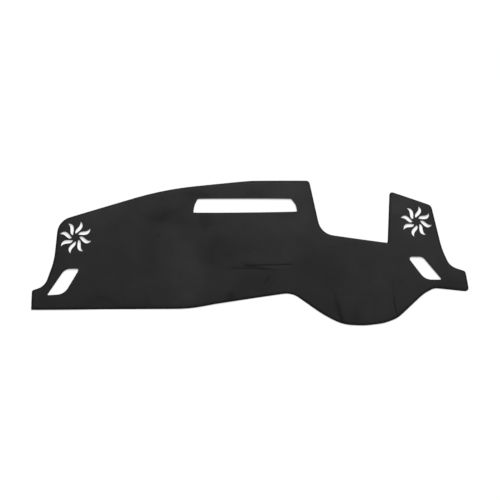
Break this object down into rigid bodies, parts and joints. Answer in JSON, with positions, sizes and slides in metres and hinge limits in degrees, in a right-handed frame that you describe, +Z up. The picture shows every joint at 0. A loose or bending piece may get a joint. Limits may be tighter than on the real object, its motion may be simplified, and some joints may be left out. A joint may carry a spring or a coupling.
{
  "type": "dashboard cover mat",
  "caption": "Flat fabric mat cut to a car dashboard's plan, with a defroster slot, side vent openings and flame-shaped speaker cuts.",
  "frame": {"origin": "middle of the mat's footprint, on the surface that it lies on", "axes": "+X from the passenger's end to the driver's end, +Y towards the windscreen, +Z up out of the brushed face"},
  "size_m": [1.4872, 0.4922, 0.004],
  "materials": {
    "brushed_fabric": "dark grey brushed pile with a soft nap, cut clean at the openings and overlocked round the rim"
  },
  "bodies": {
    "root": {"cover_mat": "brushed_fabric"}
  },
  "joints": []
}
